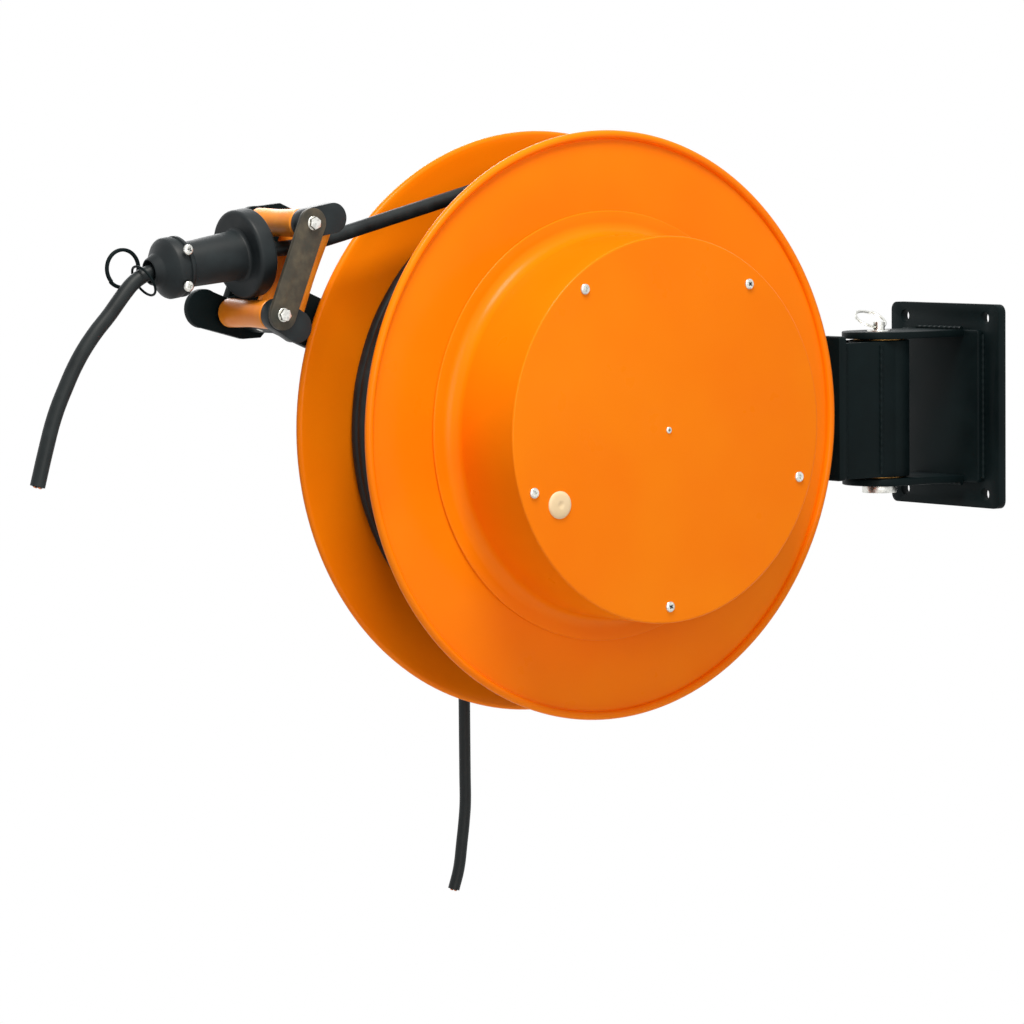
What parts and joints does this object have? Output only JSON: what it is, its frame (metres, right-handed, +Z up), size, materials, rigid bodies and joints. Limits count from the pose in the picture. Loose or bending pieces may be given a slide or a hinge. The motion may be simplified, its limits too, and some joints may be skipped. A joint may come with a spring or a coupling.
{
  "type": "extension cord reel",
  "caption": "Wall-mounted spring-driven extension cord reel: two-flange spool, round spring housing, four-roller cable guide, rubber cable stop and swivelling bracket.",
  "frame": {"origin": "centre of the wall plate's back face, which lies against the wall", "axes": "+X into the wall along the wall bolts, +Y to the rear along the spool's axis, +Z up"},
  "size_m": [0.9238, 0.29, 0.6445],
  "materials": {
    "black_coated_steel": "semi-gloss black powder coat on steel",
    "orange_coated_sheet": "glossy orange powder coat on pressed sheet steel",
    "zinc_plated_steel": "bright zinc plating on fasteners and pins",
    "turned_steel": "turned and ground steel",
    "bearing_bronze": "sintered bronze",
    "slip_ring_brass": "polished brass",
    "black_plastic": "moulded black polyamide",
    "orange_plastic": "moulded orange polyamide",
    "grey_coated_steel": "worn dark grey coat on strip steel",
    "cable_rubber": "black rubber cable sheath",
    "stop_rubber": "solid black rubber",
    "spring_steel": "blued spring strip",
    "carbon": "carbon brush block",
    "pale_plastic": "pale cream plastic plug"
  },
  "bodies": {
    "wall_bracket": {"wall_plate": "black_coated_steel", "bracket_web": "black_coated_steel", "bracket_ears": "black_coated_steel", "pivot_pin": "zinc_plated_steel", "pin_ring": "zinc_plated_steel"},
    "carrier": {"swivel_tube": "black_coated_steel", "swivel_bushes": "bearing_bronze", "carrier_neck": "black_coated_steel", "carrier_side": "black_coated_steel", "carrier_back": "black_coated_steel", "main_axle": "turned_steel", "axle_flange": "turned_steel", "axle_bolts": "zinc_plated_steel", "bearing_inner": "turned_steel", "spring_arbor": "turned_steel", "slip_ring_core": "black_plastic", "slip_rings": "slip_ring_brass", "inlet_gland": "black_plastic", "feed_cable": "cable_rubber", "guide_arm": "black_coated_steel", "guide_plate": "black_coated_steel", "arm_bolts": "zinc_plated_steel", "guide_blocks": "black_plastic", "guide_strap": "grey_coated_steel", "strap_bolts": "zinc_plated_steel", "guide_caps": "black_coated_steel", "roller_pins": "zinc_plated_steel", "drum_cable": "cable_rubber", "stop_buffer": "stop_rubber", "stop_body": "stop_rubber", "stop_collar": "stop_rubber", "stop_screws": "zinc_plated_steel", "link_ring": "black_coated_steel", "pawl_pin": "zinc_plated_steel", "pawl_spring": "spring_steel"},
    "spool": {"front_flange": "orange_coated_sheet", "rear_flange": "orange_coated_sheet", "drum_core": "orange_coated_sheet", "cable_core": "cable_rubber", "cable_layer": "cable_rubber", "front_housing": "orange_coated_sheet", "front_cover": "orange_coated_sheet", "cover_screws": "zinc_plated_steel", "cover_plug": "pale_plastic", "front_hub": "turned_steel", "rear_hub": "turned_steel", "hub_screws": "zinc_plated_steel", "bearing_outer": "turned_steel", "spring_cassette": "turned_steel", "power_spring": "spring_steel", "brush_holder": "black_plastic", "brushes": "carbon", "core_gland": "black_plastic", "ratchet_wheel": "turned_steel"},
    "low_roller": {"roller_low": "orange_plastic"},
    "high_roller": {"roller_high": "orange_plastic"},
    "front_roller": {"roller_front": "orange_plastic"},
    "rear_roller": {"roller_rear": "orange_plastic"},
    "ratchet_pawl": {"pawl": "turned_steel"},
    "finger_ring": {"pull_ring": "black_coated_steel"}
  },
  "joints": [
    {"name": "bracket_swivel", "type": "hinge", "parent": "wall_bracket", "child": "carrier", "pos_m": [-0.083, 0, 0], "axis": [0, 0, 1], "range_deg": [-60, 60]},
    {"name": "spool_spin", "type": "hinge", "parent": "carrier", "child": "spool", "pos_m": [-0.415, 0, 0], "axis": [0, 1, 0], "continuous": true},
    {"name": "low_roller_spin", "type": "hinge", "parent": "carrier", "child": "low_roller", "pos_m": [-0.71978, 0.0145, 0.09841], "axis": [0, 1, 0], "continuous": true},
    {"name": "high_roller_spin", "type": "hinge", "parent": "carrier", "child": "high_roller", "pos_m": [-0.69081, 0.0145, 0.16922], "axis": [0, 1, 0], "continuous": true},
    {"name": "front_roller_spin", "type": "hinge", "parent": "carrier", "child": "front_roller", "pos_m": [-0.68122, -0.005, 0.13038], "axis": [0.3907, 0, 0.9205], "continuous": true},
    {"name": "rear_roller_spin", "type": "hinge", "parent": "carrier", "child": "rear_roller", "pos_m": [-0.68122, 0.031, 0.13038], "axis": [0.3907, 0, 0.9205], "continuous": true},
    {"name": "pawl_pivot", "type": "hinge", "parent": "carrier", "child": "ratchet_pawl", "pos_m": [-0.5181, 0.052, 0.04376], "axis": [0, 1, 0], "range_deg": [-14, 0], "stiffness_Nm_per_rad": 0.02, "springref_deg": 5.73},
    {"name": "ring_pivot", "type": "hinge", "parent": "carrier", "child": "finger_ring", "pos_m": [-0.82459, 0.021, 0.13472], "axis": [0, 1, 0], "range_deg": [-36, 20]}
  ]
}
